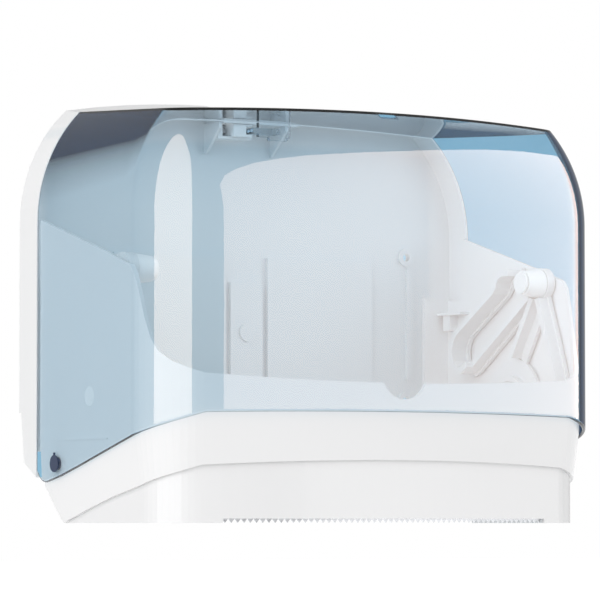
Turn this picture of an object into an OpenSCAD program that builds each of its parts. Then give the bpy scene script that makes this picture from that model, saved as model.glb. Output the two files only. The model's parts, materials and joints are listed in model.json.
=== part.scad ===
// Wall dispenser for rolled or folded sheet: a white back housing and chute, a tinted hinged
// cover, two swinging roll arms, a steel tear edge and a press-down lock at the top.
// The origin is on the wall plane, in the middle of the four wall screws.
// X runs along the wall, -Y points out of the wall and Z is up.

/* [Cover] */
// Width over the cover's side walls
body_w = 330; // [280:1:380]
// Depth from the wall to the middle of the cover's front
body_d = 197; // [170:1:220]
// Radius of the bowed front, seen from above
front_r = 568; // [450:1:900]
// Radius of the cover's upright corners
corner_r = 40; // [25:1:60]
// Height at which the upright walls start to curve in
shoulder_z = 190; // [160:1:210]
// Radius of the curve that takes the walls in to the top
arch_r = 99; // [70:1:130]
// Height of the top at the middle of the cover's back rim
top_z = 264.5; // [250:0.5:280]
// Fall of the top towards the front, per millimetre
top_fall = 0.065; // [0:0.005:0.15]
// Thickness of the tinted wall
cover_t = 2.5; // [2:0.1:4]

/* [Housing] */
// Depth of the housing's rim from the wall to the cover
rim_d = 23; // [15:1:35]
// Wall thickness of the housing
housing_t = 3; // [2:0.1:4]
// Height of the housing's crown at the wall
crown_z = 272.5; // [266:0.5:285]
// Distance between the wall screws along the wall
screw_dx = 252; // [200:1:280]
// Distance between the wall screws up the wall
screw_dz = 96; // [60:1:140]
// Radius of the wall screw holes
screw_r = 2.75; // [2:0.05:4]

/* [Chute] */
// Wall thickness of the chute
tray_t = 2.5; // [2:0.1:4]
// Inset of the chute's walls behind the cover's outer face
tray_inset = 4; // [3.2:0.1:8]
// Inset of the lower panel behind the cover's outer face
panel_inset = 10; // [7:0.1:16]
// Half width of the finger notch in the front wall
notch_half_w = 15.5; // [10:0.5:25]

/* [Hinge] */
// Distance of the cover's hinge axis from the wall
hinge_y = 47; // [40:1:60]
// Height of the cover's hinge axis
hinge_z = 37; // [34:0.5:45]
// Radius of the hinge pins
hinge_r = 4; // [3:0.1:5]

/* [Roll arms] */
// Distance of the arms' pivot axis from the wall
arm_y = 87; // [80:1:95]
// Height of the arms' pivot axis
arm_z = 78; // [74:1:85]
// Distance of the roll's axis from the wall
hub_y = 121; // [110:1:130]
// Height of the roll's axis
hub_z = 155.5; // [140:0.5:165]
// Thickness of the arms' web
web_t = 2.5; // [2:0.1:4]

/* [Tear edge] */
// Width of the toothed steel strip
blade_w = 236; // [200:1:250]
// Thickness of the steel strip
blade_t = 0.8; // [0.5:0.1:1.2]
// Distance from one tooth to the next
tooth_pitch = 4; // [3:0.1:6]
// Length of the teeth
tooth_h = 2.7; // [2:0.1:4]

/* [Hidden] */
// Height of the origin above the lowest edge
origin_z = 130;
// Running gap around every turning shaft
run = 0.06;
hw = body_w / 2;
// Centre of the bowed front and of the corner arcs, seen from above
bow_y = front_r - body_d;
cor_x = hw - corner_r;
cor_y = bow_y - sqrt(pow(front_r - corner_r, 2) - pow(cor_x, 2));
cor_turn = atan2(bow_y - cor_y, cor_x);
cover_back = -rim_d - 0.3;
// Where the outline's upright columns stand along the sides
cover_ys = [cover_back, -23.8, -25, -27.5, -31, -35.3, -54, -80, -105];
tray_ys = [-4, -8, -12, -22, -22.5, -24.5, -26, -27, -35.5, -44, -54, -80, -107, -125, -137];
// Inner radius of the front panel, outer radius of the steel strip, and the finger notch's circle
panel_in_r = front_r - panel_inset - tray_t;
blade_r = panel_in_r - 0.05;
notch_depth = 10;
notch_r = (pow(notch_half_w, 2) + pow(notch_depth, 2)) / (2 * notch_depth);
notch_z = 85.9 - notch_depth + notch_r;
// Screws, rivets and pins
tab_screw_x = 148;
tab_screw_z = [76, 87];
latch_screw_x = [-22, -8];
latch_z = 256.3;
rivet_x = [-100, -50, 0, 50, 100];
rivet_z = 9;
pivot_r = 6;
// Inner end of the hinge bearing, inner face of the arms' web and inner end of the hubs
hinge_in = hw - 10.5;
arm_x = hw - 10;
hub_in = hw - 27;
$fn = 48;

// Which node to build

// ---------- outline seen from above ----------
// A column is [x, y, outward x, outward y, angle round the corner]
function side_col(y) = [hw, y, 1, 0, 0];
function corner_col(a) = [
    cor_x + corner_r * cos(a), cor_y - corner_r * sin(a), cos(a), -sin(a), a
];
function front_col(b) = [
    front_r * cos(b), bow_y - front_r * sin(b), cos(b), -sin(b), cor_turn
];
function half_cols(ys, corner_steps, front_steps) = concat(
    [for (y = ys) side_col(y)],
    [for (i = [0:corner_steps]) corner_col(cor_turn * i / corner_steps)],
    [for (i = [1:front_steps]) front_col(cor_turn + (90 - cor_turn) * i / front_steps)]
);
function mirror_col(c) = [-c[0], c[1], -c[2], c[3], c[4]];
function all_cols(h) = concat(
    [for (c = h) mirror_col(c)],
    [for (i = [len(h) - 2:-1:0]) h[i]]
);
function inset_pt(c, d, z) = [c[0] - d * c[2], c[1] - d * c[3], z];

// ---------- heights that follow the outline ----------
function cover_top(x, y) = top_z - top_fall * (-y - rim_d) - 4 * pow(x / 140, 2);
function wall_inset(z, t) = z <= shoulder_z
    ? t
    : arch_r - sqrt(pow(arch_r - t, 2) - pow(z - shoulder_z, 2));
function crease_step(c, t, z) = let (p = inset_pt(c, wall_inset(z, t), 0))
    cover_top(p[0], p[1]) - t;
function crease_z(c, t, z, n) = n == 0 ? z : crease_z(c, t, crease_step(c, t, z), n - 1);
// Lower edge of the cover: rounded at the back, rising along the side and round the corner
function seam_side(y) = lookup(-y, [
    [35.3, 25.2], [54, 28.9], [80, 35.5], [105, 42.2], [142, 52], [200, 67]
]);
function seam_back(y) = hinge_z - sqrt(max(0, 144 - pow(y + 35.3, 2)));
function front_rise(c) = 1.4 * (1 - pow(min(1, abs(c[0]) / 134.5), 2));
function seam_z(c) = c[4] > 0
    ? 52 + 14.6 * c[4] / cor_turn + (c[4] >= cor_turn ? front_rise(c) : 0)
    : (c[1] > -35.3 ? seam_back(c[1]) : seam_side(c[1]));
// Lower edge of the chute's lip
function lip_z(c) = c[4] > 0
    ? 23 + 12 * c[4] / cor_turn + (c[4] >= cor_turn ? 2.6 * front_rise(c) : 0)
    : lookup(-c[1], [
        [8, 72], [12, 45], [24.5, 45], [26, 23.3], [27, 22], [44, 0], [96, 14], [142, 23]
    ]);
function lip_inset(c) = let (s = max(seam_z(c), lip_z(c)), k = -c[1] < 44 ? 0 : lip_z(c))
    -c[1] < 26 ? tray_inset + 0.3 : tray_inset + 4 * (s - lip_z(c)) / max(1, s - k);
// Upper edge of the chute's walls
function rim_z(c) = c[4] > 0
    ? lookup(c[4], [
        [0, 151], [5, 145], [9.6, 137], [19.5, 115], [30, 104], [45, 97.5], [60, 93.5],
        [76, 90.6], [76.3, 90.4]
    ]) - (c[4] >= cor_turn ? 4.5 * (1 - pow(min(1, abs(c[0]) / 134.5), 2)) : 0)
    : lookup(-c[1], [[3, 150], [22, 150], [22.5, 191], [107, 166.5], [125, 160.5],
        [137, 157], [142, 151]]);

// ---------- meshes ----------
// A wall swept round the outline: each column's section is a closed ring of n points
module ring_sweep(sections) {
    m = len(sections);
    n = len(sections[0]);
    pts = [for (s = sections) for (p = s) p];
    walls = [for (i = [0:m - 2]) for (j = [0:n - 1])
        let (k = (j + 1) % n, a = i * n + j, b = i * n + k, c = (i + 1) * n + k,
            d = (i + 1) * n + j)
        each [[a, b, c], [a, c, d]]];
    first = [for (j = [n - 1:-1:0]) j];
    last = [for (j = [0:n - 1]) (m - 1) * n + j];
    polyhedron(points = pts, faces = concat(walls, [first, last]), convexity = 8);
}

// Points of the cover's skin at a depth t: the upright columns, then the rungs of the top
function skin_pts(cols, t, steps, rungs) = let (
    m = len(cols),
    q = (m - 1) / 2,
    lv = steps + 2,
    side = [for (c = cols)
        let (zc = crease_z(c, t, 255, 8))
        for (j = [0:lv - 1])
            let (z = j == 0 ? seam_z(c) : shoulder_z + (zc - shoulder_z) * (j - 1) / steps)
            inset_pt(c, wall_inset(z, t), z)],
    top = [for (i = [0:q - 1]) for (k = [1:rungs - 1])
        let (p = side[i * lv + lv - 1], x = p[0] * (1 - 2 * k / rungs))
        [x, p[1], cover_top(x, p[1]) - t]]
) concat(side, top);
// Index of a point on rung i of the top
function rung_pt(m, lv, rungs, i, k) = k == 0
    ? i * lv + lv - 1
    : (k == rungs ? (m - 1 - i) * lv + lv - 1 : m * lv + i * (rungs - 1) + k - 1);
function skin_faces(m, steps, rungs) = let (
    q = (m - 1) / 2,
    lv = steps + 2,
    walls = [for (i = [0:m - 2]) for (j = [0:lv - 2])
        let (a = i * lv + j, b = a + 1, d = a + lv, c = d + 1)
        each [[a, b, c], [a, c, d]]],
    roof = [for (i = [0:q - 2]) for (k = [0:rungs - 1])
        let (a = rung_pt(m, lv, rungs, i, k), b = rung_pt(m, lv, rungs, i, k + 1),
            c = rung_pt(m, lv, rungs, i + 1, k + 1), d = rung_pt(m, lv, rungs, i + 1, k))
        each [[a, b, c], [a, c, d]]],
    tip = [for (k = [0:rungs - 1])
        [rung_pt(m, lv, rungs, q - 1, k), rung_pt(m, lv, rungs, q - 1, k + 1), q * lv + lv - 1]]
) concat(walls, roof, tip);

// The cover's shell: an outer skin, an inner skin and the strips that join their free edges
module cover_shell() {
    cols = all_cols(half_cols(cover_ys, 9, 9));
    m = len(cols);
    steps = 7;
    rungs = 6;
    lv = steps + 2;
    outer = skin_pts(cols, 0, steps, rungs);
    inner = skin_pts(cols, cover_t, steps, rungs);
    s = len(outer);
    faces = skin_faces(m, steps, rungs);
    seam = [for (i = [0:m - 2]) let (a = i * lv, b = (i + 1) * lv)
        each [[a, b, b + s], [a, b + s, a + s]]];
    edge = concat([for (j = [0:lv - 1]) j], [for (k = [1:rungs - 1]) rung_pt(m, lv, rungs, 0, k)],
        [for (j = [lv - 1:-1:0]) (m - 1) * lv + j]);
    back = [for (i = [0:len(edge) - 2]) let (a = edge[i], b = edge[i + 1])
        each [[a, a + s, b + s], [a, b + s, b]]];
    polyhedron(points = concat(outer, inner),
        faces = concat(faces, [for (f = faces) [f[0] + s, f[2] + s, f[1] + s]], seam, back),
        convexity = 10);
}

// ---------- small shapes ----------
module lift() {
    translate([0, 0, -origin_z])
    children();
}

module both_sides() {
    children();
    mirror([1, 0, 0])
    children();
}

// A round boss along X at a point of the side view
module boss(p, r, d) {
    translate([0, p[0], p[1]])
    rotate([0, 90, 0])
    cylinder(r = r, h = d);
}

// A round rod along -Y from the point [x, y, z]
module rod_y(x, y, z, r, h) {
    translate([x, y, z])
    rotate([90, 0, 0])
    cylinder(r = r, h = h);
}

// A plate drawn in the side view and extruded along X
module side_plate(x, pts, d) {
    translate([x, 0, 0])
    rotate([90, 0, 90])
    linear_extrude(d)
    polygon(pts);
}

// Outline of a band of width w that follows a bent line
function seg_normal(a, b) = let (d = (b - a) / norm(b - a)) [-d[1], d[0]];
function band_edge(pts, s) = [for (i = [0:len(pts) - 1]) let (
    n1 = i == 0 ? seg_normal(pts[0], pts[1]) : seg_normal(pts[i - 1], pts[i]),
    n2 = i == len(pts) - 1 ? n1 : seg_normal(pts[i], pts[i + 1]),
    m = (n1 + n2) / 2
) pts[i] + m * s / (m * m)];
function band(pts, w) = let (a = band_edge(pts, w / 2), b = band_edge(pts, -w / 2))
    concat(a, [for (i = [len(b) - 1:-1:0]) b[i]]);

// ---------- white housing on the wall ----------
function crown(x) = crown_z - 8.7 * pow(max(0, abs(x) - 30) / 102, 2);
function rim_outline(t, at_wall, low) = let (
    zc = at_wall ? crown_z - 8.7 - t : crease_z(side_col(-rim_d), t, 255, 8),
    xc = hw - wall_inset(zc, t),
    right = concat([[hw - t, low], [hw - t, shoulder_z]], [for (j = [1:8])
        let (z = shoulder_z + (zc - shoulder_z) * j / 8) [hw - wall_inset(z, t), z]]),
    top = [for (k = [1:11]) let (x = xc * (1 - k / 6))
        [x, (at_wall ? crown(x) : cover_top(x, -rim_d)) - t]]
) concat(right, top, [for (j = [len(right) - 1:-1:0]) [-right[j][0], right[j][1]]]);

module rim() {
    o0 = rim_outline(0, true, 20);
    o1 = rim_outline(0, false, 20);
    i0 = rim_outline(housing_t, true, 20);
    i1 = rim_outline(housing_t, false, 20);
    difference() {
        ring_sweep([for (j = [0:len(o0) - 1]) [
            [o0[j][0], 0, o0[j][1]], [o1[j][0], -rim_d, o1[j][1]],
            [i1[j][0], -rim_d, i1[j][1]], [i0[j][0], 0, i0[j][1]]
        ]]);
        side_plate(-hw - 5, [
            [2, 5], [2, 69.7], [-2.8, 69.7], [-7, 38], [-rim_d - 1, 28], [-30, 28], [-30, 5]
        ], body_w + 10);
        translate([-27, -rim_d - 1, 263.2])
        cube([54, rim_d + 2, 20]);
    }
}

module back_plate() {
    difference() {
        union() {
            rotate([90, 0, 0])
            linear_extrude(housing_t)
            polygon(rim_outline(1.5, true, 69.7));
            both_sides() {
                translate([16, -6, 75])
                cube([82, 3.5, 99]);
                translate([126, -5.5, 96])
                cube([5, 3, 74]);
                for (z = [-1, 1]) {
                    rod_y(screw_dx / 2, -2, origin_z + z * screw_dz / 2, 6, 3);
                }
            }
            translate([-12.3, -6, 75])
            cube([24.6, 3.5, 82]);
            rod_y(0, -5, 124.6, 6, 2.4);
        }
        translate([-27, -rim_d - 1, 263.2])
        cube([54, rim_d + 2, 20]);
    }
}

module rear_housing() {
    color([0.93, 0.94, 0.95])
    lift()
    difference() {
        union() {
            rim();
            back_plate();
            translate([-28, -rim_d, 260.5])
            cube([56, rim_d, 2.7]);
            both_sides() {
                side_plate(27, [[0, 260.5], [0, 271], [-22, 263], [-22, 260.5]], 2.4);
            }
            side_plate(-31, [[-2, 241], [-2, 261], [-22, 261], [-22, 257], [-5, 241]], 2);
            side_plate(19, [[-2, 241], [-2, 261], [-22, 261], [-22, 257], [-5, 241]], 2);
        }
        both_sides() {
            for (z = [-1, 1]) {
                rod_y(screw_dx / 2, 1, origin_z + z * screw_dz / 2, screw_r, 8);
            }
            for (z = tab_screw_z) {
                rod_y(tab_screw_x, 1, z, 1.75, 6);
            }
        }
        for (x = latch_screw_x) {
            rod_y(x, 1, latch_z, 1.5, 6);
            rod_y(x, 1, latch_z, 3, 2.9);
        }
        translate([-25.5, -20.8, 258])
        cube([16, 9.6, 8]);
    }
}

// ---------- white chute ----------
// Wall, lip and lower panel in one section. Behind the panel's back edge the lowest points meet
module chute_wall() {
    cols = all_cols(half_cols(tray_ys, 10, 10));
    ring_sweep([for (c = cols)
        let (l = lip_z(c), s = max(seam_z(c), l + 0.4), r = rim_z(c), d = lip_inset(c),
            panel = -c[1] >= 44, z0 = panel ? 0 : l, low = panel ? panel_inset : d,
            low_in = panel ? panel_inset + tray_t : d + tray_t + 1)
        [inset_pt(c, low, z0), inset_pt(c, low, l), inset_pt(c, d, l),
            inset_pt(c, tray_inset, s), inset_pt(c, tray_inset, r),
            inset_pt(c, tray_inset + tray_t, r), inset_pt(c, tray_inset + tray_t, s),
            inset_pt(c, low_in, l), inset_pt(c, low_in, z0)]]);
}

module front_tray() {
    color([0.95, 0.95, 0.96])
    lift()
    difference() {
        union() {
            chute_wall();
            both_sides() {
                // Tab that is screwed to the back plate
                translate([140, -6, 71])
                cube([hw - tray_inset - 139.7, 3, 80]);
                // Bearing behind the cover's hinge pin
                translate([hinge_in, 0, 0])
                boss([-hinge_y, hinge_z], 8, hw - tray_inset - hinge_in - 1);
                // Shelf and stop beside the arm's loop
                translate([150, -33, 139.3])
                cube([9.5, 27, 1.7]);
                translate([152, -18, 129])
                cube([7.5, 8, 11]);
                // Fine line moulded on the side
                translate([hw - tray_inset - 1, -110, 51.2])
                cube([1.5, 65, 0.8]);
            }
        }
        // Finger notch
        rod_y(0, -150, notch_z, notch_r, 60);
        // Recess that bares the teeth
        translate([-blade_w / 2 - 0.5, -210, -1])
        cube([blade_w + 1, 60, tooth_h + 1]);
        both_sides() {
            translate([hinge_in - 1, 0, 0])
            boss([-hinge_y, hinge_z], hinge_r + run, 12);
            translate([hw - 12, 0, 0])
            boss([-arm_y, arm_z], pivot_r, 12);
            for (z = tab_screw_z) {
                rod_y(tab_screw_x, 1, z, 1.75, 8);
            }
        }
        for (x = rivet_x) {
            rod_y(x, -170, rivet_z, 1.5, back_of_panel(x) - 170 + 1.4);
        }
    }
}

module tray_screws() {
    color([0.6, 0.62, 0.64])
    lift()
    both_sides() {
        for (z = tab_screw_z) {
            difference() {
                union() {
                    rod_y(tab_screw_x, -0.4, z, 1.75, 6.6);
                    rod_y(tab_screw_x, -6, z, 3.5, 2.2);
                }
                translate([tab_screw_x - 2.4, -9, z - 0.4])
                cube([4.8, 1.8, 0.8]);
            }
        }
    }
}

// Distance from the wall to the inner face of the front panel, at x
function back_of_panel(x) = sqrt(pow(panel_in_r, 2) - pow(x, 2)) - bow_y;

// ---------- steel tear edge ----------
module tear_blade() {
    n = floor(blade_w / tooth_pitch);
    start = -n * tooth_pitch / 2;
    teeth = [for (i = [0:n - 1]) each [
        [start + i * tooth_pitch, tooth_h], [start + (i + 0.5) * tooth_pitch, 0.05]
    ]];
    color([0.72, 0.74, 0.77])
    lift()
    difference() {
        intersection() {
            translate([0, bow_y, 0])
            difference() {
                cylinder(r = blade_r, h = 14, $fn = 96);
                translate([0, 0, -1])
                cylinder(r = blade_r - blade_t, h = 16, $fn = 96);
            }
            translate([0, -150, 0])
            rotate([90, 0, 0])
            linear_extrude(60)
            polygon(concat(teeth, [[-start, tooth_h], [-start, 14], [start, 14]]));
        }
        for (x = rivet_x) {
            rod_y(x, -170, rivet_z, 1.5, 30);
        }
    }
}

module blade_rivets() {
    color([0.9, 0.91, 0.92])
    lift()
    for (x = rivet_x) {
        y = back_of_panel(x);
        rod_y(x, -y + 2.2, rivet_z, 1.5, 3.4);
        rod_y(x, -y + 2.9, rivet_z, 3, 1.4);
    }
}

// ---------- tinted cover ----------
module cover() {
    color([0.45, 0.58, 0.68, 0.5])
    lift()
    difference() {
        union() {
            cover_shell();
            both_sides() {
                translate([hw - 1, 0, 0])
                boss([-hinge_y, hinge_z], 8.5, 1.6);
            }
        }
        both_sides() {
            translate([hw - 4, 0, 0])
            boss([-hinge_y, hinge_z], hinge_r, 6);
            translate([hw - 0.2, 0, 0])
            boss([-hinge_y, hinge_z], 5.4, 2);
            translate([hw - 0.2, -hinge_y - 1.1, hinge_z])
            cube([2, 2.2, 7]);
        }
    }
}

module cover_catch() {
    color([0.4, 0.52, 0.62, 0.6])
    lift() {
        translate([-4, -27.5, 252])
        cube([24, 3, 9.4]);
        translate([4, -27.5, 250])
        cube([14, 3, 3]);
        translate([-6.9, -27.5, 254])
        cube([20, 10.5, 3.8]);
        rod_y(-6.9, -17, 255.9, 1.9, 10.5);
    }
}

module hinge_pin() {
    color([0.12, 0.17, 0.27])
    lift() {
        translate([hinge_in - 0.3, 0, 0])
        boss([-hinge_y, hinge_z], hinge_r, hw - 0.2 - hinge_in + 0.3);
        translate([hw - 0.2, 0, 0])
        boss([-hinge_y, hinge_z], 5.3, 0.7);
        translate([hw - 0.2, -hinge_y - 1, hinge_z])
        cube([0.7, 2, 6.9]);
    }
}

module hinge_pin_right() {
    hinge_pin();
}

module hinge_pin_left() {
    mirror([1, 0, 0])
    hinge_pin();
}

// ---------- lock ----------
module latch_case() {
    color([0.9, 0.91, 0.92])
    lift()
    difference() {
        translate([-28.5, -16.5, 250.5])
        cube([25.5, 13.5, 10]);
        translate([-27, -14.7, 252.3])
        cube([30, 8.2, 10]);
        translate([-25, -18, 252.3])
        cube([30, 5, 10]);
        for (x = latch_screw_x) {
            rod_y(x, -2, latch_z, 1.5, 4.2);
        }
    }
}

module latch_screws() {
    color([0.6, 0.62, 0.64])
    lift()
    for (x = latch_screw_x) {
        rod_y(x, -0.4, latch_z, 2.6, 1.5);
        rod_y(x, -0.6, latch_z, 1.5, 5.5);
    }
}

module latch_slide() {
    color([0.94, 0.95, 0.96])
    lift()
    difference() {
        union() {
            translate([-19.5, -21.5, 252])
            cube([13.9, 4, 8.2]);
            translate([-19.5, -18, 253.2])
            cube([7.5, 5, 6.6]);
            translate([-19.5, -14.4, 252.6])
            cube([7.5, 7.6, 7.6]);
            translate([-19.5, -20.5, 259])
            cube([9, 9, 7]);
        }
        translate([-9, -25, 253.4])
        cube([6, 10, 5.6]);
        translate([-10, -25, 254.4])
        cube([4, 10, 3.6]);
        rod_y(-9, -15, 254.4, 1, 10);
        rod_y(-9, -15, 258, 1, 10);
    }
}

module latch_spring() {
    turns = 4;
    steps = 10;
    color([0.7, 0.71, 0.73])
    lift()
    translate([-26.4, -10.6, 256.3])
    ring_sweep([for (i = [0:turns * steps]) let (a = 360 * i / steps)
        [for (j = [0:5]) let (b = -60 * j, r = 2.4 + 0.4 * cos(b))
            [6.3 * i / (turns * steps) + 0.4 * sin(b), r * cos(a), r * sin(a)]]]);
}

// ---------- roll arms ----------
front_leg = [
    [-120, 153.8], [-122.5, 147.5], [-132.5, 121], [-142.5, 94.5], [-143.5, 89], [-142, 82],
    [-137, 74], [-130, 68], [-110, 61]
];
mid_leg = [[-118, 146.5], [-94, 109]];
back_leg = [[-114, 147.2], [-47, 103.6]];
loop = [
    [-49.5, 105.2], [-45, 102.4], [-41.5, 101.2], [-38, 101.4], [-34.7, 103.4], [-32.2, 107],
    [-31, 111.5], [-31, 116], [-32.4, 120.6], [-35, 124.6], [-38.5, 127.6], [-79, 151.8],
    [-81.6, 154.6], [-83, 158.5], [-86, 161.8], [-90, 163.5], [-98, 163.5]
];

module arm() {
    color([0.93, 0.93, 0.94])
    lift()
    difference() {
        union() {
            // The legs' ribs stop short of the turning hub
            difference() {
                union() {
                    side_plate(arm_x - 7, band(front_leg, 4), 7.5);
                    side_plate(arm_x - 7, band(mid_leg, 4), 7.5);
                    side_plate(arm_x - 7, band(back_leg, 4), 7.5);
                }
                translate([arm_x - 8, 0, 0])
                boss([-hub_y, hub_z], 10.2, 5);
            }
            side_plate(arm_x - 11.5, band(loop, 4), 12);
            side_plate(arm_x, band(front_leg, 8), web_t);
            side_plate(arm_x, band(mid_leg, 18), web_t);
            side_plate(arm_x, band(back_leg, 8), web_t);
            side_plate(arm_x, band(loop, 7.4), web_t);
            translate([arm_x, 0, 0])
            boss([-arm_y, arm_z], 30, web_t);
            translate([arm_x - 4.5, 0, 0])
            boss([-arm_y, arm_z], 18.7, 5);
            translate([arm_x - 3, 0, 0])
            boss([-hub_y, hub_z], 10, 3 + web_t);
            translate([hub_in + 0.5, 0, 0])
            boss([-hub_y, hub_z], 4, arm_x - hub_in);
        }
        translate([arm_x - 5, 0, 0])
        boss([-arm_y, arm_z], pivot_r + run, 10);
        translate([arm_x - 6, 0, 0])
        boss([-arm_y, arm_z], 15, 2.7);
        translate([hub_in, 0, 0])
        boss([-hub_y, hub_z], 2, 8);
    }
}

module arm_pivot() {
    color([0.88, 0.89, 0.9])
    lift() {
        translate([arm_x - 5.2, 0, 0])
        boss([-arm_y, arm_z], 14.4, 1.6);
        translate([arm_x - 5, 0, 0])
        boss([-arm_y, arm_z], pivot_r, hw - tray_inset - arm_x + 5);
    }
}

module hub() {
    color([0.9, 0.91, 0.92])
    lift()
    difference() {
        translate([hub_in + 1, -hub_y, hub_z])
        rotate([0, 90, 0])
        cylinder(r1 = 8, r2 = 9.5, h = arm_x - 3.4 - hub_in - 1);
        translate([hub_in, 0, 0])
        boss([-hub_y, hub_z], 4 + run, 20);
    }
}

module hub_cap() {
    color([0.86, 0.87, 0.88])
    lift() {
        translate([hub_in - 1.2, 0, 0])
        boss([-hub_y, hub_z], 7, 1.7);
        translate([hub_in, 0, 0])
        boss([-hub_y, hub_z], 2, 7.5);
    }
}

module arm_right() {
    arm();
}

module arm_left() {
    mirror([1, 0, 0])
    arm();
}

module arm_pivot_right() {
    arm_pivot();
}

module arm_pivot_left() {
    mirror([1, 0, 0])
    arm_pivot();
}

module hub_right() {
    hub();
}

module hub_left() {
    mirror([1, 0, 0])
    hub();
}

module hub_cap_right() {
    hub_cap();
}

module hub_cap_left() {
    mirror([1, 0, 0])
    hub_cap();
}

rear_housing();
front_tray();
tray_screws();
tear_blade();
blade_rivets();
cover();
cover_catch();
hinge_pin_left();
hinge_pin_right();
latch_case();
latch_screws();
latch_slide();
latch_spring();
arm_left();
arm_right();
arm_pivot_left();
arm_pivot_right();
hub_left();
hub_right();
hub_cap_left();
hub_cap_right();
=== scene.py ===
"""Wall-mounted roll dispenser: materials, the smooth tinted cover, studio light and camera."""

import json
import math

import bmesh
import bpy
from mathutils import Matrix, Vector


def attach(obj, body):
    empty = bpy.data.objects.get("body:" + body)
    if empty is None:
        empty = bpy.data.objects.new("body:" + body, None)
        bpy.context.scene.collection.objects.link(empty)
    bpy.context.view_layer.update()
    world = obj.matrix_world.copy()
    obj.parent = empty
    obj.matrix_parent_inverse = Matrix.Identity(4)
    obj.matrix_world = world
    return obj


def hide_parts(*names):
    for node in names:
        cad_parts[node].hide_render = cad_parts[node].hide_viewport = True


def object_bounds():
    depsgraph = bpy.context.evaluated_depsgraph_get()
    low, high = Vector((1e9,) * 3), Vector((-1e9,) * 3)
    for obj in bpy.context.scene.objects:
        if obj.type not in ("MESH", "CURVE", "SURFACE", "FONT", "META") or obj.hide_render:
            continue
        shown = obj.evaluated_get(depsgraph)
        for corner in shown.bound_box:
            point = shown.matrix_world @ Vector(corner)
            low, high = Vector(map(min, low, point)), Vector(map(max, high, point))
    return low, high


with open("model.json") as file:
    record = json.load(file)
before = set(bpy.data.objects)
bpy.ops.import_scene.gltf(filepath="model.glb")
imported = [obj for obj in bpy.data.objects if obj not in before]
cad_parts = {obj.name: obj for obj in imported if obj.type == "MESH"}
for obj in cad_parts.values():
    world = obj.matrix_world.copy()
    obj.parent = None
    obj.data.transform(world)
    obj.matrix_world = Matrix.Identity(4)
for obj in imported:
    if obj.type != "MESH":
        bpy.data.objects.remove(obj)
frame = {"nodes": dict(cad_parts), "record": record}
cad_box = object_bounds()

MM = 0.001
ORIGIN_Z = 130.0  # mm from the lowest edge to the row's origin

# ---------------------------------------------------------------- outline of the cover, in mm
HALF_W = 165.0
DEPTH = 197.0  # from the wall to the middle of the bowed front
FRONT_R = 568.0  # radius of the bowed front, seen from above
CORNER_R = 40.0  # radius of its two corners, seen from above
SHOULDER_Z = 190.0  # height at which the upright walls start to arch inwards
ARCH_R = 99.0  # radius of that arch
TOP_Z = 264.5  # height of the top at its rear edge
TOP_FALL = 0.065  # slope of the top towards the front
CROWN_FALL = 4.0  # the top falls this far from its middle to CROWN_X on either side
CROWN_X = 140.0
RIM_D = 23.0  # depth of the rear housing's rim, where the top starts
COVER_T = 2.5  # wall thickness

# The lower edge runs down a short arc at the rear, then up along the side, round the corner and
# across the front
SEAM_ARC_R = 12.0
SEAM_ARC_Y = -35.3  # centre of the arc at the rear
SEAM_ARC_Z = 37.0
SEAM_SIDE = [(35.3, 25.2), (54, 28.9), (80, 35.5), (105, 42.2), (142, 52), (200, 67)]
SEAM_CORNER_Z = 52.0  # height where the corner starts
SEAM_CORNER_RISE = 14.6  # rise round the corner
SEAM_BOW = 1.4  # further rise to the middle of the front
SEAM_BOW_X = 134.5  # where that rise starts

BOW_Y = FRONT_R - DEPTH
COR_X = HALF_W - CORNER_R
COR_Y = BOW_Y - math.sqrt((FRONT_R - CORNER_R) ** 2 - COR_X**2)
COR_TURN = math.degrees(math.atan2(BOW_Y - COR_Y, COR_X))

# Mesh rows and columns
CORNER_STEPS = 26
FRONT_STEPS = 30
ARCH_STEPS = 22
TOP_STEPS = 20
EDGE_STEPS = 6
CREASE_ROUNDS = 10  # steps of the search for the line where the arch meets the top
# Heights of the upright walls' rows, as fractions; the close ones keep the edge's shading short
FLAT_ROWS = (0, 0.003, 0.01, 0.25, 0.5, 0.75, 1)
# Places of the side walls' columns; they are closer where the lower edge's arc is
SIDE_COLS = [-23.3 - COVER_T / 2, -24.9, -25.5, -26.5, -28.5, -31.5, -35.3]
SIDE_COLS += [-44, -54, -66, -80, -92, -105, -118, -130]


def lookup(x, table):
    """Straight-line reading of a table of (x, y) pairs."""
    if x <= table[0][0]:
        return table[0][1]
    for (x0, y0), (x1, y1) in zip(table, table[1:]):
        if x <= x1:
            return y0 + (y1 - y0) * (x - x0) / (x1 - x0)
    return table[-1][1]


# A column of the cover is (x, y, outward x, outward y, degrees turned round the corner)
def side_col(y):
    return (HALF_W, y, 1.0, 0.0, 0.0)


def corner_col(turn):
    c, s = math.cos(math.radians(turn)), math.sin(math.radians(turn))
    return (COR_X + CORNER_R * c, COR_Y - CORNER_R * s, c, -s, turn)


def front_col(turn):
    c, s = math.cos(math.radians(turn)), math.sin(math.radians(turn))
    return (FRONT_R * c, BOW_Y - FRONT_R * s, c, -s, COR_TURN)


def all_cols():
    """Columns from the left rear, round the front, to the right rear."""
    half = [side_col(y) for y in SIDE_COLS]
    half += [corner_col(COR_TURN * i / CORNER_STEPS) for i in range(CORNER_STEPS + 1)]
    half += [
        front_col(COR_TURN + (90 - COR_TURN) * i / FRONT_STEPS)
        for i in range(1, FRONT_STEPS + 1)
    ]
    left = [(-c[0], c[1], -c[2], c[3], c[4]) for c in half]
    return left + half[-2::-1]


def inset_pt(col, inset, z):
    return (col[0] - inset * col[2], col[1] - inset * col[3], z)


def cover_top(x, y):
    return TOP_Z - TOP_FALL * (-y - RIM_D) - CROWN_FALL * (x / CROWN_X) ** 2


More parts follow.
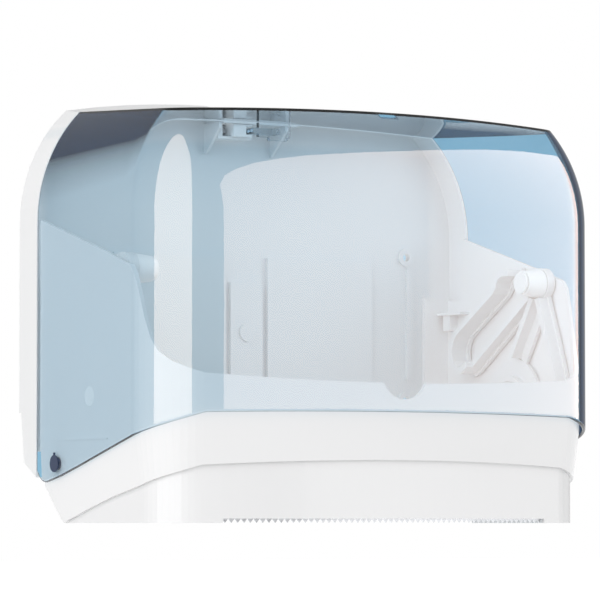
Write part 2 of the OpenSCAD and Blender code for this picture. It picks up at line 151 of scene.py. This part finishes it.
def wall_inset(z, t):
    """How far the wall's face stands inside the outline at a height, t below the outer face."""
    if z <= SHOULDER_Z:
        return t
    return ARCH_R - math.sqrt((ARCH_R - t) ** 2 - (z - SHOULDER_Z) ** 2)


def crease_z(col, t):
    """Height at which the arch meets the top, found by repeated substitution."""
    z = 255.0
    for _ in range(CREASE_ROUNDS):
        x, y, _z = inset_pt(col, wall_inset(z, t), 0)
        z = cover_top(x, y) - t
    return z


def seam_z(col):
    """Height of the cover's lower edge at a column."""
    x, y, _nx, _ny, turn = col
    if turn > 0:
        bow = SEAM_BOW * (1 - min(1, abs(x) / SEAM_BOW_X) ** 2) if turn >= COR_TURN else 0
        return SEAM_CORNER_Z + SEAM_CORNER_RISE * turn / COR_TURN + bow
    if y > SEAM_ARC_Y:
        return SEAM_ARC_Z - math.sqrt(max(0, SEAM_ARC_R**2 - (y - SEAM_ARC_Y) ** 2))
    return lookup(-y, SEAM_SIDE)


# ---------------------------------------------------------------- cover mesh
def new_object(name, data):
    ob = bpy.data.objects.new(name, data)
    bpy.context.scene.collection.objects.link(ob)
    return ob


def new_mesh(name, verts, faces, sharp_angle):
    """A smooth-shaded object from points in mm above the lowest edge."""
    me = bpy.data.meshes.new(name)
    me.from_pydata([(x * MM, y * MM, (z - ORIGIN_Z) * MM) for x, y, z in verts], [], faces)
    me.validate()
    me.polygons.foreach_set("use_smooth", [True] * len(me.polygons))
    me.set_sharp_from_angle(angle=sharp_angle)
    me.update()
    return new_object(name, me)


def skin(cols, t):
    """One face of the shell, t below the outer one: vertices, faces, and its open edge.

    The edge is a loop of vertex numbers with the outward direction at each of them.
    """
    count, half = len(cols), (len(cols) - 1) // 2
    flat_levels = len(FLAT_ROWS) - 1
    levels = flat_levels + ARCH_STEPS + 1
    verts = []
    for col in cols:
        crease, low = crease_z(col, t), seam_z(col) + COVER_T / 2
        for j in range(levels):
            if j <= flat_levels:
                z = low + (SHOULDER_Z - low) * FLAT_ROWS[j]
            else:
                z = SHOULDER_Z + (crease - SHOULDER_Z) * (j - flat_levels) / ARCH_STEPS
            verts.append(inset_pt(col, wall_inset(z, t), z))
    for i in range(half):
        end = verts[i * levels + levels - 1]
        for k in range(1, TOP_STEPS):
            x = end[0] * (1 - 2 * k / TOP_STEPS)
            verts.append((x, end[1], cover_top(x, end[1]) - t))

    def top_vert(i, k):
        """Vertex k of the top's row that runs from column i to its mirror image."""
        if k == 0:
            return i * levels + levels - 1
        if k == TOP_STEPS:
            return (count - 1 - i) * levels + levels - 1
        return count * levels + i * (TOP_STEPS - 1) + k - 1

    faces = []
    for i in range(count - 1):
        for j in range(levels - 1):
            a = i * levels + j
            faces.append((a, a + levels, a + levels + 1, a + 1))
    for i in range(half - 1):
        for k in range(TOP_STEPS):
            near = (top_vert(i, k), top_vert(i + 1, k))
            faces.append((*near, top_vert(i + 1, k + 1), top_vert(i, k + 1)))
    for k in range(TOP_STEPS):
        middle = half * levels + levels - 1
        faces.append((top_vert(half - 1, k), middle, top_vert(half - 1, k + 1)))

    loop = [i * levels for i in range(count)]
    outward = [(0, 0, -1)] * count
    loop += [(count - 1) * levels + j for j in range(1, levels)]
    loop += [top_vert(0, k) for k in range(TOP_STEPS - 1, 0, -1)]
    loop += list(range(levels - 1, 0, -1))
    outward += [(0, 1, 0)] * (len(loop) - count)
    outward[0] = outward[count - 1] = (0, 0.7, -0.7)
    return verts, faces, loop, outward


def build_cover():
    """The cover's closed shell, with a rounded free edge."""
    cols = all_cols()
    outer, faces, loop, outward = skin(cols, 0)
    inner, _faces, _loop, _outward = skin(cols, COVER_T)
    shift = len(outer)
    verts = outer + inner
    all_faces = list(faces)
    all_faces += [tuple(reversed([v + shift for v in face])) for face in faces]
    rows = [loop]
    for k in range(1, EDGE_STEPS):
        turn = math.pi * k / EDGE_STEPS
        rows.append(range(len(verts), len(verts) + len(loop)))
        for i, way in zip(loop, outward):
            a, b = Vector(verts[i]), Vector(verts[i + shift])
            across = (a - b) / 2 * math.cos(turn)
            verts.append(tuple((a + b) / 2 + across + Vector(way) * COVER_T / 2 * math.sin(turn)))
    rows.append([i + shift for i in loop])
    for r0, r1 in zip(rows, rows[1:]):
        for i in range(len(loop)):
            j = (i + 1) % len(loop)
            all_faces.append((r0[j], r0[i], r1[i], r1[j]))
    sharp_angle = math.radians(40)
    ob = new_mesh("cover_shell", verts, all_faces, sharp_angle)
    bm = bmesh.new()
    bm.from_mesh(ob.data)
    bmesh.ops.recalc_face_normals(bm, faces=bm.faces)
    bm.to_mesh(ob.data)
    bm.free()
    ob.data.set_sharp_from_angle(angle=sharp_angle)
    return ob


# ---------------------------------------------------------------- node helpers
NOISE_RANGE = (0.3, 0.7)  # where nearly all of a noise texture's values lie
PLASTIC_IOR = 1.49


def material(name):
    mat = bpy.data.materials.new(name)
    mat.use_nodes = True
    nt = mat.node_tree
    nt.nodes.clear()
    return mat, nt, node(nt, "ShaderNodeOutputMaterial")


def node(nt, kind, **values):
    """A new node; in_NAME or in_NUMBER sets or links an input, other names set the node itself."""
    n = nt.nodes.new(kind)
    for key, value in values.items():
        if not key.startswith("in_"):
            setattr(n, key, value)
            continue
        key = key[3:]
        socket = n.inputs[int(key) if key.isdigit() else key.replace("_", " ")]
        if isinstance(value, bpy.types.NodeSocket):
            nt.links.new(value, socket)
        else:
            socket.default_value = value
    return n


def object_place(nt):
    return node(nt, "ShaderNodeTexCoord").outputs["Object"]


def noise(nt, place, scale, detail):
    tex = node(nt, "ShaderNodeTexNoise", in_Vector=place, in_Scale=scale, in_Detail=detail)
    return tex.outputs["Fac"]


def remap(nt, value, source, target=(0, 1)):
    """A value's source range mapped to a target range, and held at its ends."""
    (a, b), (c, d) = source, target
    n = node(nt, "ShaderNodeMapRange", in_0=value, in_1=a, in_2=b, in_3=c, in_4=d)
    return n.outputs[0]


def scaled(nt, colour, factor):
    n = node(nt, "ShaderNodeVectorMath", operation="SCALE", in_0=colour, in_Scale=factor)
    return n.outputs[0]


def bump(nt, height, strength, distance):
    n = node(nt, "ShaderNodeBump", in_Strength=strength, in_Distance=distance, in_Height=height)
    return n.outputs[0]


# ---------------------------------------------------------------- materials
def plastic(name, base, rough, grain=0.008, tone=0.02):
    """Moulded plastic: slow tone changes, uneven gloss and a fine grain."""
    mat, nt, out = material(name)
    place = object_place(nt)
    slow = noise(nt, place, 9.0, 2.0)
    mid = noise(nt, place, 60.0, 3.0)
    fine = noise(nt, place, 600.0, 3.0)
    bsdf = node(
        nt,
        "ShaderNodeBsdfPrincipled",
        in_IOR=PLASTIC_IOR,
        in_Base_Color=scaled(nt, base, remap(nt, slow, NOISE_RANGE, (1.0 - tone, 1.0))),
        in_Roughness=remap(nt, mid, NOISE_RANGE, (rough - 0.015, rough + 0.02)),
        in_Normal=bump(nt, fine, grain, 0.0002),
    )
    nt.links.new(bsdf.outputs[0], out.inputs[0])
    return mat


def steel(name, base, rough, stretch=(1.0, 1.0, 1.0)):
    """Rolled or drawn steel: noise, stretched along one axis, in colour, gloss and height."""
    mat, nt, out = material(name)
    place = node(nt, "ShaderNodeMapping", in_Vector=object_place(nt), in_Scale=stretch).outputs[0]
    streaks = noise(nt, place, 700.0, 4.0)
    bsdf = node(
        nt,
        "ShaderNodeBsdfPrincipled",
        in_Metallic=1.0,
        in_Base_Color=scaled(nt, base, remap(nt, streaks, NOISE_RANGE, (0.82, 1.05))),
        in_Roughness=remap(nt, streaks, NOISE_RANGE, (rough - 0.05, rough + 0.1)),
        in_Normal=bump(nt, streaks, 0.1, 0.0001),
    )
    nt.links.new(bsdf.outputs[0], out.inputs[0])
    return mat


# Layer weight of the faces seen at a grazing angle, from where they start to darken to full dark
GRAZING = (0.535, 0.6)


def tinted_clear(name, face_tint, edge_tint, absorb):
    """Clear tinted plastic: it refracts, and its depth absorbs red, green and blue per metre.

    Shadow and diffuse rays pass straight through, so light reaches the inside.
    """
    mat, nt, out = material(name)
    facing = node(nt, "ShaderNodeLayerWeight", in_Blend=0.5).outputs["Facing"]
    tint = node(nt, "ShaderNodeMix", data_type="RGBA", in_0=remap(nt, facing, GRAZING))
    tint.inputs[6].default_value = (*face_tint, 1.0)
    tint.inputs[7].default_value = (*edge_tint, 1.0)
    waves = noise(nt, object_place(nt), 22.0, 2.0)
    glass = node(
        nt,
        "ShaderNodeBsdfPrincipled",
        in_Base_Color=tint.outputs[2],
        in_Roughness=0.015,
        in_IOR=PLASTIC_IOR,
        in_Transmission_Weight=1.0,
        in_Normal=bump(nt, waves, 0.03, 0.0006),
    )
    path = node(nt, "ShaderNodeLightPath")
    either = node(nt, "ShaderNodeMath", operation="MAXIMUM")
    nt.links.new(path.outputs["Is Shadow Ray"], either.inputs[0])
    nt.links.new(path.outputs["Is Diffuse Ray"], either.inputs[1])
    clear = node(nt, "ShaderNodeBsdfTransparent").outputs[0]
    mix = node(nt, "ShaderNodeMixShader", in_0=either.outputs[0], in_1=glass.outputs[0], in_2=clear)
    nt.links.new(mix.outputs[0], out.inputs[0])
    most = max(absorb)
    hue = (*[1 - v / most for v in absorb], 1.0)
    depth = node(nt, "ShaderNodeVolumeAbsorption", in_Color=hue, in_Density=most)
    nt.links.new(depth.outputs[0], out.inputs["Volume"])
    return mat


# Inside the rim the back plate gets painted shade over these ranges, from none to full, in metres
PAINTED_SHADE_X = (0.150, 0.144)
PAINTED_SHADE_Z = (0.122, 0.116)


def paint_inside_shade(mat, factor):
    """Painted shade: a cooler, darker colour multiplied into the back plate's base colour inside
    the rim, blended over a few millimetres.
    """
    nt = mat.node_tree
    bsdf = next(n for n in nt.nodes if n.type == "BSDF_PRINCIPLED")
    old = bsdf.inputs["Base Color"].links[0].from_socket
    xyz = node(nt, "ShaderNodeSeparateXYZ", in_0=object_place(nt))
    side = node(nt, "ShaderNodeMath", operation="ABSOLUTE", in_0=xyz.outputs["X"])
    both = node(nt, "ShaderNodeMath", operation="MULTIPLY")
    nt.links.new(remap(nt, side.outputs[0], PAINTED_SHADE_X), both.inputs[0])
    nt.links.new(remap(nt, xyz.outputs["Z"], PAINTED_SHADE_Z), both.inputs[1])
    mix = node(nt, "ShaderNodeMix", data_type="RGBA", blend_type="MULTIPLY")
    mix.inputs[7].default_value = (*factor, 1.0)
    nt.links.new(both.outputs[0], mix.inputs[0])
    nt.links.new(old, mix.inputs[6])
    nt.links.new(mix.outputs[2], bsdf.inputs["Base Color"])


WHITE = plastic("white_housing", (0.86, 0.865, 0.87), rough=0.36)
# Painted shade: the back plate inside the rim is darkened and cooled in its base colour
paint_inside_shade(WHITE, (0.83, 0.89, 0.92))

BY_SLOT = {
    "white_housing": WHITE,
    "white_chute": plastic("white_chute", (0.88, 0.88, 0.885), rough=0.16, tone=0.01),
    "white_arm": plastic("white_arm", (0.84, 0.845, 0.85), rough=0.42, tone=0.03),
    "white_small": plastic("white_small", (0.95, 0.95, 0.95), rough=0.38, tone=0.01),
    "navy_pin": plastic("navy_pin", (0.008, 0.028, 0.09), rough=0.3, grain=0.01, tone=0.2),
    "blade_steel": steel("blade_steel", (0.6, 0.61, 0.63), rough=0.28, stretch=(0.06, 1.0, 1.0)),
    "screw_steel": steel("screw_steel", (0.5, 0.51, 0.53), rough=0.32),
    "spring_steel": steel("spring_steel", (0.5, 0.5, 0.52), rough=0.3),
    "tinted_cover": tinted_clear(
        "tinted_cover",
        face_tint=(0.98, 0.99, 0.995),
        edge_tint=(0.002, 0.006, 0.02),
        absorb=(80, 50, 33),
    ),
    "tinted_catch": tinted_clear(
        "tinted_catch",
        face_tint=(0.98, 0.99, 0.995),
        edge_tint=(0.3, 0.45, 0.6),
        absorb=(30, 20, 14),
    ),
}
SLOT_OF = {s["node"]: s["material_slot"] for s in frame["record"]["subparts"]}


def assign(ob, mat):
    if not ob.material_slots:
        ob.data.materials.append(mat)
    for slot in ob.material_slots:
        slot.material = mat


for name, ob in frame["nodes"].items():
    assign(ob, BY_SLOT[SLOT_OF[name]])

# ---------------------------------------------------------------- cover
cover = build_cover()
assign(cover, BY_SLOT["tinted_cover"])
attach(cover, "hood")
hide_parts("cover")

# ---------------------------------------------------------------- floor and room
FLOOR_SIZE = 60.0  # m
FLOOR_DROP = 0.35  # m below the object
FLOOR_GLOW = 0.75
BACKDROP_LIGHT = 1.0  # radiance of the room as the camera sees it
FRONT_LIGHT = 0.62  # radiance of the room's front half, as it lights and is reflected
REAR_LIGHT = 0.5  # radiance of its rear half
ROOM_BLEND = (-0.2, 0.2)  # how far into each half the change reaches, as a direction's Y
BEYOND_LIGHT = 0.75  # radiance of the room as seen through the clear sheet
BEYOND_TINT = (0.42, 0.78, 1, 1)
PAPER = (1, 1, 1, 1)


def build_floor(bottom):
    """A glowing white floor, seen and reflected, that throws no light on the object."""
    bpy.ops.mesh.primitive_plane_add(size=FLOOR_SIZE, location=(0, 0, bottom - FLOOR_DROP))
    floor = bpy.context.object
    floor.name = "stage_floor"
    mat, nt, out = material("stage_white")
    bsdf = node(
        nt,
        "ShaderNodeBsdfPrincipled",
        in_Base_Color=(0.97, 0.97, 0.97, 1),
        in_Roughness=0.9,
        in_Emission_Color=PAPER,
        in_Emission_Strength=FLOOR_GLOW,
    )
    nt.links.new(bsdf.outputs[0], out.inputs[0])
    assign(floor, mat)
    floor.visible_diffuse = False


def build_room():
    """World light: white to the camera, dimmer as light and reflection, blue through the sheet."""
    world = bpy.data.worlds.new("studio")
    bpy.context.scene.world = world
    world.use_nodes = True
    nt = world.node_tree
    way = node(nt, "ShaderNodeTexCoord").outputs["Generated"]
    front_to_rear = node(nt, "ShaderNodeSeparateXYZ", in_0=way).outputs["Y"]
    strength = remap(nt, front_to_rear, ROOM_BLEND, (FRONT_LIGHT, REAR_LIGHT))
    room = node(nt, "ShaderNodeBackground", in_Color=PAPER, in_Strength=strength)
    beyond = node(nt, "ShaderNodeBackground", in_Color=BEYOND_TINT, in_Strength=BEYOND_LIGHT)
    backdrop = node(nt, "ShaderNodeBackground", in_Color=PAPER, in_Strength=BACKDROP_LIGHT)
    ray = node(nt, "ShaderNodeLightPath").outputs
    lit = node(
        nt,
        "ShaderNodeMixShader",
        in_0=ray["Is Transmission Ray"],
        in_1=room.outputs[0],
        in_2=beyond.outputs[0],
    )
    seen = node(
        nt,
        "ShaderNodeMixShader",
        in_0=ray["Is Camera Ray"],
        in_1=lit.outputs[0],
        in_2=backdrop.outputs[0],
    )
    nt.links.new(seen.outputs[0], nt.nodes["World Output"].inputs[0])


BOTTOM = cad_box[0][2]
build_floor(BOTTOM)
build_room()


# ---------------------------------------------------------------- lights and reflections
def direction(az, el):
    """Unit vector; azimuth is measured from -Y towards +X, both in degrees."""
    az, el = math.radians(az), math.radians(el)
    return Vector((math.sin(az) * math.cos(el), -math.cos(az) * math.cos(el), math.sin(el)))


def link_set(name, members, state):
    """A light-linking set that includes or leaves out some objects."""
    group = bpy.data.collections.new(name)
    for ob in members:
        group.objects.link(ob)
    for entry in group.collection_objects:
        entry.light_linking.link_state = state
    return group


SHEET = link_set("sheet_only", [cover], "INCLUDE")
NOT_SHEET = link_set("all_but_sheet", [cover], "EXCLUDE")
LIT_POINT = Vector((0, -0.1, 0))  # what the soft lights face, about the object's middle


def softbox(name, az_el, distance, width, height, power):
    """An area light for everything but the cover, facing the object from a direction."""
    way = direction(*az_el)
    data = bpy.data.lights.new(name, "AREA")
    data.shape = "RECTANGLE"
    data.size, data.size_y = width, height
    data.energy = power
    ob = new_object(name, data)
    ob.location = LIT_POINT + way * distance
    ob.rotation_euler = (-way).to_track_quat("-Z", "Y").to_euler()
    ob.visible_camera = False
    ob.visible_transmission = False
    ob.light_linking.receiver_collection = NOT_SHEET
    return ob


def panel_outline(middle, half_width, low, spring, rise, power, steps=16):
    """An upright panel with an arched top, as azimuth, elevation directions in degrees.

    The sides stand from low to spring; the top is a superellipse of the given power.
    """
    points = [(middle - half_width, low)]
    for i in range(steps + 1):
        turn = math.pi * (1 - i / steps)
        across = math.copysign(abs(math.cos(turn)) ** (2 / power), math.cos(turn))
        up = abs(math.sin(turn)) ** (2 / power)
        points.append((middle + half_width * across, spring + rise * up))
    points.append((middle + half_width, low))
    return points


PANEL_REACH = 30.0  # m from the object to the glowing panels
PANEL_RINGS = 8
GAIN_X = (0.1 * PANEL_REACH, 0.95 * PANEL_REACH)  # where a panel's gain starts and ends to change


def reflector(name, outline, radiance, gain=(1, 1)):
    """A glowing panel seen only as a reflection in the clear sheet, built of rings of faces.

    The outline is a list of azimuth, elevation directions seen from the object.
    """
    mid_az = sum(az for az, _el in outline) / len(outline)
    mid_el = sum(el for _az, el in outline) / len(outline)
    verts = [direction(mid_az, mid_el) * PANEL_REACH]
    for ring in range(1, PANEL_RINGS + 1):
        part = ring / PANEL_RINGS
        for az, el in outline:
            way = direction(mid_az + (az - mid_az) * part, mid_el + (el - mid_el) * part)
            verts.append(way * PANEL_REACH)
    n = len(outline)
    faces = [(0, 1 + i, 1 + (i + 1) % n) for i in range(n)]
    for ring in range(PANEL_RINGS - 1):
        inner, outer = 1 + ring * n, 1 + (ring + 1) * n
        for i in range(n):
            j = (i + 1) % n
            faces.append((inner + i, outer + i, outer + j, inner + j))
    me = bpy.data.meshes.new(name)
    me.from_pydata([tuple(v) for v in verts], [], faces)
    me.update()
    ob = new_object(name, me)
    mat, nt, out = material(name)
    most = max(radiance)
    x = node(nt, "ShaderNodeSeparateXYZ", in_0=object_place(nt)).outputs["X"]
    strength = remap(nt, x, GAIN_X, (most * gain[0], most * gain[1]))
    hue = (*[v / most for v in radiance], 1.0)
    glow = node(nt, "ShaderNodeEmission", in_Color=hue, in_Strength=strength)
    nt.links.new(glow.outputs[0], out.inputs[0])
    assign(ob, mat)
    ob.visible_camera = False
    ob.visible_diffuse = False
    ob.visible_transmission = False
    ob.visible_shadow = False
    ob.light_linking.receiver_collection = SHEET


reflector(
    "left_panel",
    panel_outline(middle=-56, half_width=34, low=-3, spring=32, rise=26, power=2),
    radiance=(8.0, 6.6, 5.6),
)
reflector(
    "front_panel",
    panel_outline(middle=47.5, half_width=42, low=-3, spring=10, rise=32, power=2.8),
    radiance=(5.8, 4.5, 3.8),
    gain=(1.0, 1.55),
)
sheen = softbox("left_sheen", (-56, 27), distance=6.0, width=8.1, height=7.0, power=90)
sheen.visible_diffuse = False
softbox("left_box", (-72, 20), distance=1.8, width=2.4, height=2.2, power=25)
softbox("front_right_box", (42, 20), distance=1.8, width=1.9, height=2.0, power=13)

# ---------------------------------------------------------------- camera
CAMERA_X = -1.381  # m; the camera stands at the height of the object's lowest edge
CAMERA_Y = -2.282
CAMERA_TURN = -32.0  # degrees to the left of the front
CAMERA_TILT = 3.136  # degrees upwards
LENS = 244.2  # mm, on a sensor of SENSOR_W
SENSOR_W = 36.0
CLIP_END = 100.0  # m

lens = bpy.data.cameras.new("camera")
lens.sensor_width = SENSOR_W
lens.lens = LENS
lens.clip_end = CLIP_END
camera = new_object("camera", lens)
camera.location = (CAMERA_X, CAMERA_Y, BOTTOM)
camera.rotation_euler = (math.radians(90 + CAMERA_TILT), 0, math.radians(CAMERA_TURN))
bpy.context.scene.camera = camera
bpy.context.scene.view_settings.view_transform = "Standard"
